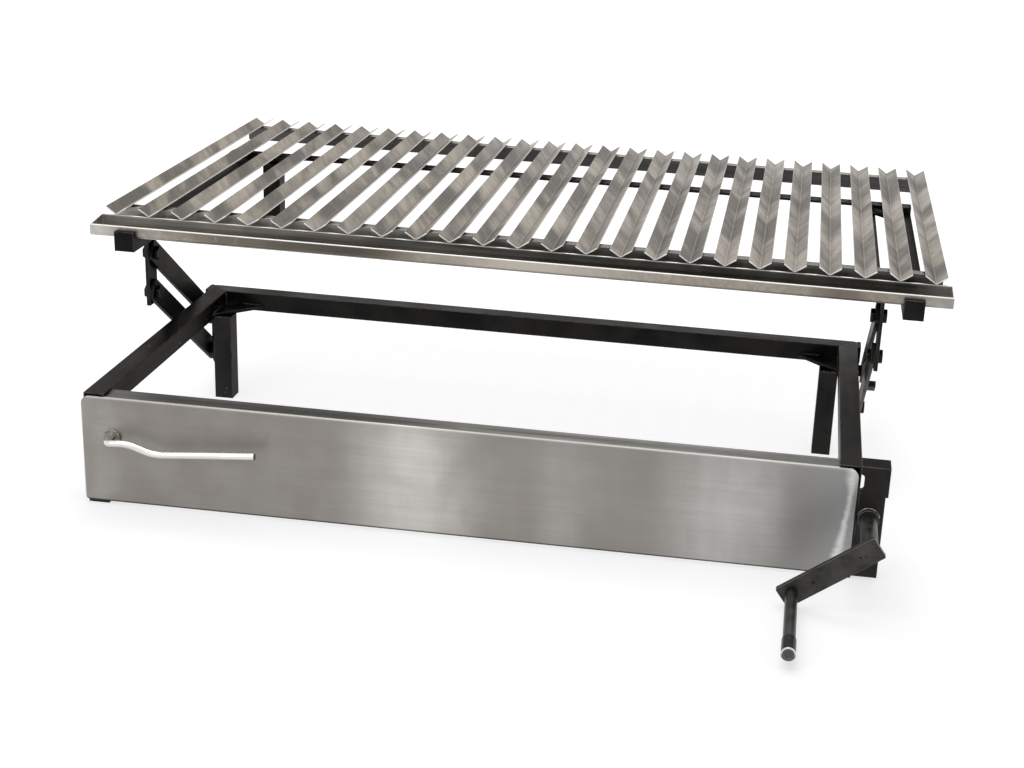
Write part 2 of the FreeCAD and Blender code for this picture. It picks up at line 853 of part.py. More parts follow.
def crank_handle():
    """A round rod with a thicker grip, whose end is dished."""
    body = new_body("crank_handle")
    back = -(s.crank_arm_front - s.crank_arm_thick)
    pad(body, "rod", "XZ_Plane", -(s.handle_tip - s.grip_length), back, (ZERO, ZERO, s.handle_radius))
    pad(body, "grip", "XZ_Plane", -s.handle_tip, -(s.handle_tip - s.grip_length),
        (ZERO, ZERO, s.grip_radius))
    cut(body, "dish", "XZ_Plane", -s.handle_tip, s.grip_dish_depth - s.handle_tip,
        (ZERO, ZERO, s.grip_dish_radius))
    place(body, across=shaft_across - s.crank_reach * cosine(s.crank_angle),
          up=s.shaft_height - s.crank_reach * sine(s.crank_angle))
    return body


# Lever
def bent_rod(points, bends, radius):
    """A round rod along points, with a tangent arc of its own bend radius at each inner one."""
    edges = []
    start = points[0]
    for place_in_row in range(1, len(points) - 1):
        corner = points[place_in_row]
        bend = bends[place_in_row - 1]
        back = (points[place_in_row - 1] - corner).normalize()
        ahead = (points[place_in_row + 1] - corner).normalize()
        half = back.getAngle(ahead) / 2
        reach = bend / math.tan(half)
        first = corner + back * reach
        last = corner + ahead * reach
        inward = (back + ahead).normalize()
        middle = corner + inward * (bend / math.sin(half) - bend)
        edges.append(Part.LineSegment(start, first).toShape())
        edges.append(Part.Arc(first, middle, last).toShape())
        start = last
    edges.append(Part.LineSegment(start, points[-1]).toShape())
    spine = Part.Wire(edges)
    circle = Part.Wire(Part.Circle(points[0], points[1] - points[0], radius).toShape())
    return spine.makePipeShell([circle], True, False)


def lever():
    """A rod that turns in the panel's bush, bent into a handle along the panel."""
    behind = -s.lever_stand_off.number
    height = s.lever_height.number
    places = (
        (0.0, s.lever_tail.number, height),
        (0.0, behind, height),
        (s.lever_knee.number, behind, height + s.lever_knee_rise.number),
        (s.lever_elbow.number, behind, height - s.lever_elbow_drop.number),
        (s.lever_reach.number, behind, height + s.lever_end_rise.number),
    )
    bends = (s.lever_bend.number, s.lever_sweep.number, s.lever_sweep.number)
    rod = bent_rod([FreeCAD.Vector(*point) for point in places], bends, s.lever_radius.number)
    gap = s.side_gap.number
    collar = Part.makeCylinder(
        s.lever_radius.number + s.lever_collar_rim.number, s.lever_collar_thick.number,
        FreeCAD.Vector(0, gap, height), FreeCAD.Vector(0, 1, 0))
    piece = document.addObject("Part::Feature", "lever")
    piece.Label = "lever"
    piece.Shape = rod.fuse(collar).removeSplitter()
    place(piece, across=-s.lever_left)
    return piece


def rear_bolts():
    members = []
    for word, side in (("left", LEFT), ("right", RIGHT)):
        for level, up in (("low", s.pivot_low), ("high", pivot_high)):
            members.append(pivot_bolt("rear_bolt_%s_%s" % (word, level), side, pivot_back, up,
                                      base_half, arm_outside + s.side_gap, True))
    return group("rear_pivot_bolts", members)


def front_bolts():
    members = []
    for word, side in (("left", LEFT), ("right", RIGHT)):
        for level, up in (("low", front_pivot_low), ("high", front_pivot_high)):
            members.append(pivot_bolt("front_bolt_%s_%s" % (word, level), side, front_pivot_back,
                                      up, arm_inside - s.side_gap, front_lug_outside, False))
    return group("front_pivot_bolts", members)


def braces(label, across, back, corner, low, high, middle):
    members = []
    for word, side in (("left", LEFT), ("right", RIGHT)):
        members.append(corner_brace(label + "_" + word, side, across, back, corner, low, high, middle))
    return group(label, members)


nodes = [
    side_beam("side_beam_left", LEFT),
    side_beam("side_beam_right", RIGHT),
    rear_beam(),
    leg("front_leg_left", LEFT, beam_inside, ZERO, beam_low),
    leg("front_leg_right", RIGHT, beam_inside, ZERO, beam_low),
    leg("rear_leg_left", LEFT, beam_inside - s.tube_side, rear_inside - s.rear_leg_inset, brace_low),
    leg("rear_leg_right", RIGHT, beam_inside - s.tube_side, rear_inside - s.rear_leg_inset, brace_low),
    braces("base_braces", beam_inside, rear_inside, s.brace_corner,
           brace_low, brace_low + s.brace_thick, ZERO),
    front_panel(),
    crank_bracket(),
    crank_bearing(),
    lever_bush(),
    rear_lug("rear_lug_left", LEFT),
    rear_lug("rear_lug_right", RIGHT),
    rear_bolts(),
    arm("lower_arm_left", LEFT, s.pivot_low, s.running_gap, False),
    arm("lower_arm_right", RIGHT, s.pivot_low, s.running_gap, True),
    arm("upper_arm_left", LEFT, pivot_high, s.open_pivot_gap, False),
    arm("upper_arm_right", RIGHT, pivot_high, s.open_pivot_gap, False),
    rail("rail_left", LEFT),
    rail("rail_right", RIGHT),
    front_cross_bar(),
    rear_cross_bar(),
    tie_and_post(),
    braces("carrier_braces", rail_inside, rail_back, s.carrier_brace_corner,
           gusset_low, bar_low, upper_offset),
    front_lug("front_lug_left", LEFT),
    front_lug("front_lug_right", RIGHT),
    front_bolts(),
    grease_tray(),
    support("front_support", slat_front + s.support_front_inset, rail_high),
    support("rear_support", slat_back - s.support_back_inset, slat_bed - s.support_back_drop),
    crank_shaft(),
    crank_arm(),
    crank_handle(),
    lever(),
]
for number in range(1, int(s.slat_count.number) + 1):
    nodes.append(slat(number))

document.recompute()
for item in document.Objects:
    if "Invalid" in item.State or "Error" in item.State:
        raise RuntimeError(item.Label + " did not build")
for node in nodes:
    if node.Shape.isNull() or not node.Shape.isValid():
        raise RuntimeError(node.Label + " has no valid shape")

os.makedirs("parts", exist_ok=True)
for node in nodes:
    node.Shape.exportStep("parts/" + node.Label + ".step")
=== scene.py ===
"""Argentine grill: finishes, weld beads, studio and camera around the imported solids.

Metres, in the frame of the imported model: X across the grate, Y from the front panel to the
back, Z up from the feet. Lengths written in millimetres are turned to metres by MM.
"""
import bmesh
import bpy
import math
import random
from mathutils import Matrix, Vector


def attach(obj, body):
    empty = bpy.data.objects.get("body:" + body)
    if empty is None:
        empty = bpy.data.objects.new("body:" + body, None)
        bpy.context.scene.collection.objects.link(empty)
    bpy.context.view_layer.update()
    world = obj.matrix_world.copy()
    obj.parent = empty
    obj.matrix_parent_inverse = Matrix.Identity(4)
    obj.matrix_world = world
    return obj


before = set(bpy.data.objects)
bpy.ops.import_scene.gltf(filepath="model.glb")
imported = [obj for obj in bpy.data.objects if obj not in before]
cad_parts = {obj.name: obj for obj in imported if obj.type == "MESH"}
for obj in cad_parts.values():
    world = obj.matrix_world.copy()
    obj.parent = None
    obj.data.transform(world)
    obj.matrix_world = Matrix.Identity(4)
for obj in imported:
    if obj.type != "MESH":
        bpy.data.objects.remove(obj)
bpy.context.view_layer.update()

MM = 0.001
SLAT_PITCH = 43.0 * MM
SLAT_COUNT = 25
WHITE = (1.0, 1.0, 1.0, 1.0)

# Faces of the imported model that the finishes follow.
PANEL_LEFT, PANEL_RIGHT = -0.483, 0.437
PANEL_FOOT, PANEL_TOP = 0.004, 0.138
TRAY_FRONT, TRAY_BACK = -0.1125, -0.0745
SHAFT_END, SHAFT_END_RADIUS = (0.453, -0.3735, 0.0774), 0.0115

# The tray's rim climbs from front to back. TRAY_RIM is its height carried on to Y 0.
TRAY_CLIMB = 0.1105
TRAY_RIM = (0.3098, 0.3106)

# The floor's glow rises from front to back over FLOOR_RISE, painting light into the shade under
# the grill, and to 1 over FLOOR_FADE.
FLOOR_FRONT, FLOOR_BACK, FLOOR_MIRRORED = 0.59, 0.78, 0.71
FLOOR_RISE = (-0.38, -0.06)
FLOOR_FADE = (1.3, 4.5)

# The white surround's strength as a light, and as the camera and the metal see it.
SURROUND_LIGHT, SURROUND_SEEN = 0.55, 1.0


# ---------------------------------------------------------------- node helpers
def put(tree, kind, inputs=None, **settings):
    """Add a shader node. Each input is another node's socket or a plain value."""
    node = tree.nodes.new("ShaderNode" + kind)
    for name, value in settings.items():
        setattr(node, name, value)
    for name, value in (inputs or {}).items():
        if isinstance(value, bpy.types.NodeSocket):
            tree.links.new(value, node.inputs[name])
        else:
            node.inputs[name].default_value = value
    return node


def maths(tree, operation, first, second=0.0):
    """One Math node; its result."""
    return put(tree, "Math", {0: first, 1: second}, operation=operation).outputs[0]


def times(tree, first, second):
    return maths(tree, "MULTIPLY", first, second)


def plus(tree, first, second):
    return maths(tree, "ADD", first, second)


def minus(tree, first, second):
    return maths(tree, "SUBTRACT", first, second)


def vector_maths(tree, operation, first, second):
    """One Vector Math node; its vector."""
    return put(tree, "VectorMath", {0: first, 1: second}, operation=operation).outputs[0]


def measure(tree, operation, first, second=(0.0, 0.0, 0.0)):
    """One Vector Math node that gives a number, such as a length; that number."""
    return put(tree, "VectorMath", {0: first, 1: second}, operation=operation).outputs["Value"]


def spread(tree, value, low, high, to_low=0.0, to_high=1.0, curve="LINEAR"):
    """Stretch a value from low..high to to_low..to_high, held at the ends."""
    return put(tree, "MapRange", {"Value": value, "From Min": low, "From Max": high,
                                  "To Min": to_low, "To Max": to_high},
               interpolation_type=curve).outputs[0]


def split(tree, vector):
    """The three values of a vector."""
    return put(tree, "SeparateXYZ", {0: vector}).outputs


def facing(tree):
    """The surface's outward direction, as three separate values."""
    return split(tree, put(tree, "NewGeometry").outputs["Normal"])


def soft_band(tree, value, middle, reach):
    """1 at the middle, falling smoothly to 0 at reach on both sides."""
    off = maths(tree, "ABSOLUTE", minus(tree, value, middle))
    return spread(tree, off, reach, 0.0, curve="SMOOTHSTEP")


def tint(tree, share, first, second, mode="MIX"):
    """Mix two colours by a share from 0 to 1."""
    return put(tree, "Mix", {0: share, 6: first, 7: second},
               data_type="RGBA", blend_type=mode).outputs[2]


def cover(tree, base, mask, amount, paint):
    """Lay a paint over the base where the mask is 1, as thickly as amount says."""
    return tint(tree, times(tree, mask, amount), base, paint)


def colour(red, green, blue):
    return (red, green, blue, 1.0)


def new_group(name, inputs, outputs):
    """Make a node group with named sockets; its tree, what it is given and what it puts out.

    Each input is a pair of kind and starting value, each output a kind."""
    tree = bpy.data.node_groups.new(name, "ShaderNodeTree")
    for label, (kind, start) in inputs.items():
        socket = tree.interface.new_socket(label, in_out="INPUT", socket_type="NodeSocket" + kind)
        if start is not None:
            socket.default_value = start
    for label, kind in outputs.items():
        tree.interface.new_socket(label, in_out="OUTPUT", socket_type="NodeSocket" + kind)
    given = tree.nodes.new("NodeGroupInput").outputs
    return tree, given, tree.nodes.new("NodeGroupOutput").inputs


def use_group(tree, group, **inputs):
    """Place a group in a material; its outputs."""
    return put(tree, "Group", inputs, node_tree=group).outputs


# ---------------------------------------------------------------- shared effects
def make_brushed_lines():
    """Fine lines along the direction in which Stretch is smallest."""
    tree, given, result = new_group(
        "brushed_lines",
        {"Place": ("Vector", None), "Stretch": ("Vector", (4.0, 400.0, 900.0))},
        {"Lines": "Float"})
    place = vector_maths(tree, "MULTIPLY", given["Place"], given["Stretch"])
    noise = put(tree, "TexNoise", {"Vector": place, "Scale": 1.0, "Detail": 3.0,
                                   "Roughness": 0.6})
    tree.links.new(spread(tree, noise.outputs[0], 0.32, 0.68), result["Lines"])
    return tree


def make_cloudy_patches():
    """Soft uneven patches about Size across; another Seed gives other patches."""
    tree, given, result = new_group(
        "cloudy_patches",
        {"Place": ("Vector", None), "Size": ("Float", 0.05), "Seed": ("Float", 0.0),
         "Low": ("Float", 0.4), "High": ("Float", 0.6)},
        {"Patches": "Float"})
    scale = maths(tree, "DIVIDE", 1.0, given["Size"])
    noise = put(tree, "TexNoise", {"Vector": given["Place"], "W": given["Seed"],
                                   "Scale": scale, "Detail": 4.0, "Roughness": 0.55,
                                   "Distortion": 0.4}, noise_dimensions="4D")
    level = spread(tree, noise.outputs[0], given["Low"], given["High"], curve="SMOOTHSTEP")
    tree.links.new(level, result["Patches"])
    return tree


def make_hair_scratches():
    """Thin stray lines: the contour of a stretched noise, kept only here and there."""
    tree, given, result = new_group(
        "hair_scratches",
        {"Place": ("Vector", None), "Stretch": ("Vector", (6.0, 40.0, 40.0)),
         "Width": ("Float", 0.004), "Share": ("Float", 0.4)},
        {"Scratches": "Float"})
    place = vector_maths(tree, "MULTIPLY", given["Place"], given["Stretch"])
    noise = put(tree, "TexNoise", {"Vector": place, "Scale": 1.0, "Detail": 1.0})
    off = maths(tree, "ABSOLUTE", minus(tree, noise.outputs[0], 0.5))
    line = maths(tree, "LESS_THAN", off, given["Width"])
    where = put(tree, "TexNoise", {"Vector": vector_maths(tree, "ADD", place, (9.1, 3.7, 5.3)),
                                   "Scale": 0.6, "Detail": 1.0})
    bar = minus(tree, 1.0, given["Share"])
    kept = maths(tree, "GREATER_THAN", spread(tree, where.outputs[0], 0.3, 0.7), bar)
    tree.links.new(times(tree, line, kept), result["Scratches"])
    return tree


def make_small_specks():
    """Round dots of dirt or spatter: one in each Voronoi cell, in a share of the cells."""
    tree, given, result = new_group(
        "small_specks",
        {"Place": ("Vector", None), "Spacing": ("Float", 0.02), "Size": ("Float", 0.12),
         "Share": ("Float", 0.3)},
        {"Specks": "Float"})
    scale = maths(tree, "DIVIDE", 1.0, given["Spacing"])
    cells = put(tree, "TexVoronoi", {"Vector": given["Place"], "Scale": scale})
    draw = put(tree, "SeparateColor", {0: cells.outputs["Color"]})
    size = times(tree, given["Size"], spread(tree, draw.outputs[1], 0.0, 1.0, 0.4, 1.0))
    dot = spread(tree, cells.outputs["Distance"], size, times(tree, size, 0.6))
    kept = maths(tree, "LESS_THAN", draw.outputs[0], given["Share"])
    tree.links.new(times(tree, dot, kept), result["Specks"])
    return tree


def make_eased_edges():
    """Rounds the edges in the light, and marks them here and there for rubbed wear and a painted
    edge highlight.
    """
    tree, given, result = new_group(
        "eased_edges",
        {"Place": ("Vector", None), "Radius": ("Float", 0.001), "Rubbed": ("Float", 0.6)},
        {"Normal": "Vector", "Edges": "Float"})
    rounded = put(tree, "Bevel", {"Radius": given["Radius"]}, samples=6)
    surface = put(tree, "NewGeometry")
    meeting = measure(tree, "DOT_PRODUCT", rounded.outputs[0], surface.outputs["Normal"])
    edge = spread(tree, meeting, 0.985, 0.86)
    uneven = put(tree, "TexNoise", {"Vector": given["Place"], "Scale": 70.0, "Detail": 3.0})
    bar = minus(tree, 1.0, given["Rubbed"])
    kept = spread(tree, spread(tree, uneven.outputs[0], 0.3, 0.7), minus(tree, bar, 0.25),
                  plus(tree, bar, 0.25))
    tree.links.new(rounded.outputs[0], result["Normal"])
    tree.links.new(times(tree, edge, kept), result["Edges"])
    return tree


brushed_lines = make_brushed_lines()
cloudy_patches = make_cloudy_patches()
hair_scratches = make_hair_scratches()
small_specks = make_small_specks()
eased_edges = make_eased_edges()


# ---------------------------------------------------------------- finishes
def new_finish(name, specular_tint=WHITE, anisotropic=0.0):
    """Start a metal: the material, its tree, its shader and the piece's own coordinates."""
    material = bpy.data.materials.new(name)
    material.use_nodes = True
    tree = material.node_tree
    shader = tree.nodes["Principled BSDF"]
    shader.inputs["Metallic"].default_value = 1.0
    shader.inputs["Specular Tint"].default_value = specular_tint
    shader.inputs["Anisotropic"].default_value = anisotropic
    place = put(tree, "TexCoord").outputs["Object"]
    return material, tree, shader, place


def wire_finish(tree, shader, base, roughness, height, depth, normal):
    """Join colour, roughness and relief to the shader; depth is the relief in metres."""
    bump = put(tree, "Bump", {"Height": height, "Distance": depth, "Strength": 0.6,
                              "Normal": normal})
    tree.links.new(base, shader.inputs["Base Color"])
    tree.links.new(roughness, shader.inputs["Roughness"])
    tree.links.new(bump.outputs[0], shader.inputs["Normal"])


def black_steel(name, stretch, tone=1.0, sheen=0.69):
    """Dark mill-scale tube and bar: brown-grey drawing marks, faint scuffs, and lighter edges
    that are partly rubbed wear, partly painted highlight. Tone and sheen make painted lit and
    shaded copies of the same steel.
    """
    material, tree, shader, place = new_finish(
        name, specular_tint=colour(sheen, sheen * 0.985, sheen * 0.965))
    lines = use_group(tree, brushed_lines, Place=place, Stretch=stretch)[0]
    patches = use_group(tree, cloudy_patches, Place=place, Size=0.07, Low=0.36, High=0.66)[0]
    scuffs = use_group(tree, hair_scratches, Place=place,
                       Stretch=tuple(value * 0.12 for value in stretch),
                       Width=0.006, Share=0.35)[0]
    specks = use_group(tree, small_specks, Place=place, Spacing=0.016, Size=0.07, Share=0.25)[0]
    eased = use_group(tree, eased_edges, Place=place, Radius=0.0021, Rubbed=0.65)
    base = tint(tree, patches, colour(0.0130, 0.0130, 0.0135), colour(0.0270, 0.0258, 0.0240))
    base = cover(tree, base, lines, 0.35, colour(0.028, 0.0265, 0.025))
    base = cover(tree, base, scuffs, 0.45, colour(0.06, 0.056, 0.052))
    base = cover(tree, base, specks, 0.7, colour(0.07, 0.067, 0.063))
    # Tone lightens or darkens the whole copy: painted light and shade.
    base = tint(tree, 1.0, base, colour(tone, tone, tone), "MULTIPLY")
    # Rubbed wear and painted highlight along the edges.
    base = cover(tree, base, eased["Edges"], 0.65, colour(0.125, 0.120, 0.113))
    rough = plus(tree, spread(tree, patches, 0.0, 1.0, 0.36, 0.47), times(tree, lines, 0.08))
    wire_finish(tree, shader, base, rough, lines, 0.00006, eased["Normal"])
    return material


def panel_sheet():
    """Brushed stainless sheet with painted reflections: lighter in a few upright bands, and a
    painted highlight along its right end.
    """
    material, tree, shader, place = new_finish("panel_sheet", anisotropic=0.6)
    around = put(tree, "Tangent", direction_type="RADIAL", axis="Z")
    tree.links.new(around.outputs[0], shader.inputs["Tangent"])
    shader.inputs["Anisotropic Rotation"].default_value = 0.25
    parts = split(tree, place)
    lines = use_group(tree, brushed_lines, Place=place, Stretch=(7.0, 500.0, 1500.0))[0]
    broad = use_group(tree, brushed_lines, Place=place, Stretch=(2.0, 40.0, 110.0))[0]
    patches = use_group(tree, cloudy_patches, Place=place, Size=0.09, Low=0.35, High=0.68)[0]
    upright = use_group(tree, brushed_lines, Place=place, Stretch=(38.0, 1.0, 5.0))[0]
    strokes = use_group(tree, brushed_lines, Place=place, Stretch=(9.0, 40.0, 420.0))[0]
    blotches = use_group(tree, cloudy_patches, Place=place, Size=0.045, Low=0.40, High=0.62)[0]
    scratches = use_group(tree, hair_scratches, Place=place, Stretch=(2.2, 20.0, 26.0),
                          Width=0.0010, Share=0.22)[0]
    specks = use_group(tree, small_specks, Place=place, Spacing=0.024, Size=0.045, Share=0.4)[0]
    eased = use_group(tree, eased_edges, Place=place, Radius=0.0012, Rubbed=0.9)
    # Painted reflections: soft upright bands of sheen across the sheet, weaker near its top.
    across = plus(tree, parts[0], times(tree, minus(tree, patches, 0.5), 0.012))
    share = 0.06
    for middle, reach, gain in ((-0.080, 0.105, 1.02), (0.290, 0.105, 0.64),
                                (0.100, 0.055, 0.22), (-0.470, 0.060, 0.16)):
        band = times(tree, soft_band(tree, across, middle, reach), gain)
        share = plus(tree, band, share)
    below_top = spread(tree, parts[2], PANEL_TOP - 0.002, PANEL_TOP - 0.048, 0.78, 1.04)
    share = times(tree, share, below_top)
    share = times(tree, share, spread(tree, upright, 0.0, 1.0, 0.82, 1.12))
    base = tint(tree, share, colour(0.232, 0.216, 0.199), colour(0.600, 0.578, 0.545))
    base = cover(tree, base, upright, 0.10, colour(0.34, 0.325, 0.305))
    left = spread(tree, parts[0], -0.10, -0.30, 0.35, 1.0)
    base = cover(tree, base, patches, 0.16, colour(0.215, 0.195, 0.172))
    base = cover(tree, base, times(tree, blotches, left), 0.30, colour(0.175, 0.156, 0.138))
    base = cover(tree, base, lines, 0.14, colour(0.42, 0.405, 0.38))
    base = cover(tree, base, strokes, 0.11, colour(0.16, 0.148, 0.135))
    base = cover(tree, base, broad, 0.12, colour(0.20, 0.19, 0.175))
    # Painted sheen: lighter towards the right end. From the middle to the right the sheet is also
    # a little bluer.
    right_end = spread(tree, parts[0], PANEL_RIGHT - 0.082, PANEL_RIGHT - 0.012)
    base = cover(tree, base, right_end, 0.60, colour(0.34, 0.338, 0.334))
    base = tint(tree, spread(tree, parts[0], 0.05, 0.38), base, colour(0.972, 1.0, 1.03),
                "MULTIPLY")
    # Painted highlight: a curved, ragged band of sheen along the right end, wider at the top
    # corner and towards the foot.
    drop = minus(tree, 1.0, maths(tree, "DIVIDE", parts[2], PANEL_TOP))
    curve = plus(tree, 0.0060, times(tree, maths(tree, "POWER", drop, 1.8), 0.0150))
    ragged = use_group(tree, brushed_lines, Place=place, Stretch=(60.0, 10.0, 190.0))[0]
    off_edge = minus(tree, minus(tree, PANEL_RIGHT, parts[0]), curve)
    off_edge = minus(tree, off_edge, times(tree, minus(tree, ragged, 0.5), 0.0018))
    corner = soft_band(tree, parts[2], PANEL_TOP - 0.006, 0.030)
    foot = soft_band(tree, parts[2], PANEL_FOOT + 0.016, 0.060)
    reach = plus(tree, 0.0050, plus(tree, times(tree, corner, 0.0065), times(tree, foot, 0.0045)))
    end_sheen = times(tree, soft_band(tree, off_edge, 0.0, reach),
                      spread(tree, ragged, 0.0, 1.0, 0.68, 0.92))
    base = tint(tree, end_sheen, base, colour(0.74, 0.73, 0.715))
    base = cover(tree, base, scratches, 0.30, colour(0.50, 0.48, 0.45))
    base = cover(tree, base, specks, 0.65, colour(0.09, 0.08, 0.07))
    out = facing(tree)
    # Painted reflection on the top flange: dark at the left, lighter towards the right.
    flange = spread(tree, out[2], 0.88, 0.97)
    base = cover(tree, base, flange, 0.9,
                 tint(tree, spread(tree, parts[0], -0.12, 0.20),
                      tint(tree, broad, colour(0.055, 0.052, 0.048), colour(0.125, 0.119, 0.110)),
                      tint(tree, broad, colour(0.26, 0.254, 0.244), colour(0.42, 0.413, 0.40))))
    # Painted highlight along the bend from the face to the flange.
    bend = times(tree, spread(tree, out[2], 0.42, 0.62), spread(tree, out[2], 0.88, 0.80))
    base = cover(tree, base, bend, 0.8, colour(0.34, 0.333, 0.32))
    # Painted highlight: a bright line along the left edge of the face.
    left_edge_highlight = times(tree, spread(tree, parts[0], PANEL_LEFT + 0.0012, PANEL_LEFT + 0.0006),
                     spread(tree, out[2], 0.9, 0.5))
    base = cover(tree, base, left_edge_highlight, 0.7, colour(0.80, 0.785, 0.76))
    # Painted shade: a dark line along the foot of the sheet, just above the floor.
    foot_shade_line = spread(tree, parts[2], PANEL_FOOT + 0.0024, PANEL_FOOT + 0.0010)
    base = cover(tree, base, foot_shade_line, 0.85, colour(0.030, 0.028, 0.026))
    # Rubbed wear and painted highlight along the edges, left out along the foot.
    rubbed_and_highlit_edges = times(tree, eased["Edges"], minus(tree, 0.8, times(tree, foot_shade_line, 0.8)))
    base = cover(tree, base, rubbed_and_highlit_edges, 0.5, colour(0.60, 0.585, 0.56))
    rough = plus(tree, spread(tree, lines, 0.0, 1.0, 0.36, 0.42), times(tree, patches, 0.06))
    wire_finish(tree, shader, base, rough, lines, 0.00003, eased["Normal"])
    return material


def slat_sheet():
    """Folded stainless slats: cloudy chevron patches mirrored about each fold, partly brushing
    marks and partly painted reflection, with painted shade and highlights at the folds and edges.
    """
    material, tree, shader, place = new_finish("slat_sheet")
    parts = split(tree, place)
    step = maths(tree, "DIVIDE", parts[0], SLAT_PITCH)
    number = maths(tree, "FLOOR", plus(tree, step, 0.5))
    aside = times(tree, minus(tree, step, number), SLAT_PITCH)
    off_fold = maths(tree, "ABSOLUTE", aside)
    seed = times(tree, number, 0.37)
    drift = times(tree, number, 0.13)
    swept = minus(tree, parts[1], times(tree, off_fold, 1.15))
    chevron = put(tree, "CombineXYZ", {0: times(tree, aside, 0.45), 1: times(tree, swept, 0.40)})
    feather = put(tree, "CombineXYZ", {0: times(tree, off_fold, 0.8), 1: swept})
    bands = use_group(tree, cloudy_patches, Place=chevron.outputs[0], Size=0.042, Seed=drift,
                      Low=0.39, High=0.61)[0]
    clouds = use_group(tree, cloudy_patches, Place=feather.outputs[0], Size=0.014, Seed=seed,
                       Low=0.36, High=0.66)[0]
    streaks = use_group(tree, brushed_lines, Place=feather.outputs[0],
                        Stretch=(60.0, 330.0, 1.0))[0]
    specks = use_group(tree, small_specks, Place=place, Spacing=0.013, Size=0.07, Share=0.3)[0]
    eased = use_group(tree, eased_edges, Place=place, Radius=0.0005, Rubbed=0.9)
    # Cloudy chevron patches mirrored about each fold: partly brushing marks, partly painted
    # reflection.
    base = tint(tree, bands, colour(0.086, 0.077, 0.065), colour(0.370, 0.322, 0.264))
    base = cover(tree, base, clouds, 0.38, colour(0.122, 0.109, 0.092))
    far_end = spread(tree, parts[1], 0.30, 0.50)
    base = cover(tree, base, far_end, 0.35, colour(0.12, 0.112, 0.10))
    base = cover(tree, base, streaks, 0.13, colour(0.42, 0.375, 0.32))
    base = cover(tree, base, specks, 0.5, colour(0.05, 0.044, 0.038))
    # Painted shade in the crease beside each fold, and a painted highlight along the fold itself.
    gully = spread(tree, off_fold, 0.0034, 0.0012)
    base = cover(tree, base, gully, 0.25, colour(0.12, 0.107, 0.092))
    fold = spread(tree, off_fold, 0.0010, 0.0004)
    base = cover(tree, base, fold, 0.22, colour(0.42, 0.385, 0.34))
    out = facing(tree)
    # Painted highlight along the top edge of each wing.
    rim = times(tree, spread(tree, off_fold, 0.0128, 0.0133),
                spread(tree, maths(tree, "ABSOLUTE", out[0]), 0.62, 0.72))
    # Painted highlight on the cut front ends.
    cut_end = spread(tree, out[1], -0.75, -0.9)
    # Rubbed wear and painted highlight along the edges.
    base = cover(tree, base, eased["Edges"], 0.35, colour(0.62, 0.59, 0.54))
    base = cover(tree, base, rim, 0.7, colour(0.66, 0.63, 0.58))
    base = tint(tree, cut_end, base, colour(0.97, 0.95, 0.92))
    rough = plus(tree, spread(tree, bands, 0.0, 1.0, 0.38, 0.28), times(tree, clouds, 0.08))
    wire_finish(tree, shader, base, rough, plus(tree, streaks, bands), 0.00005, eased["Normal"])
    return material


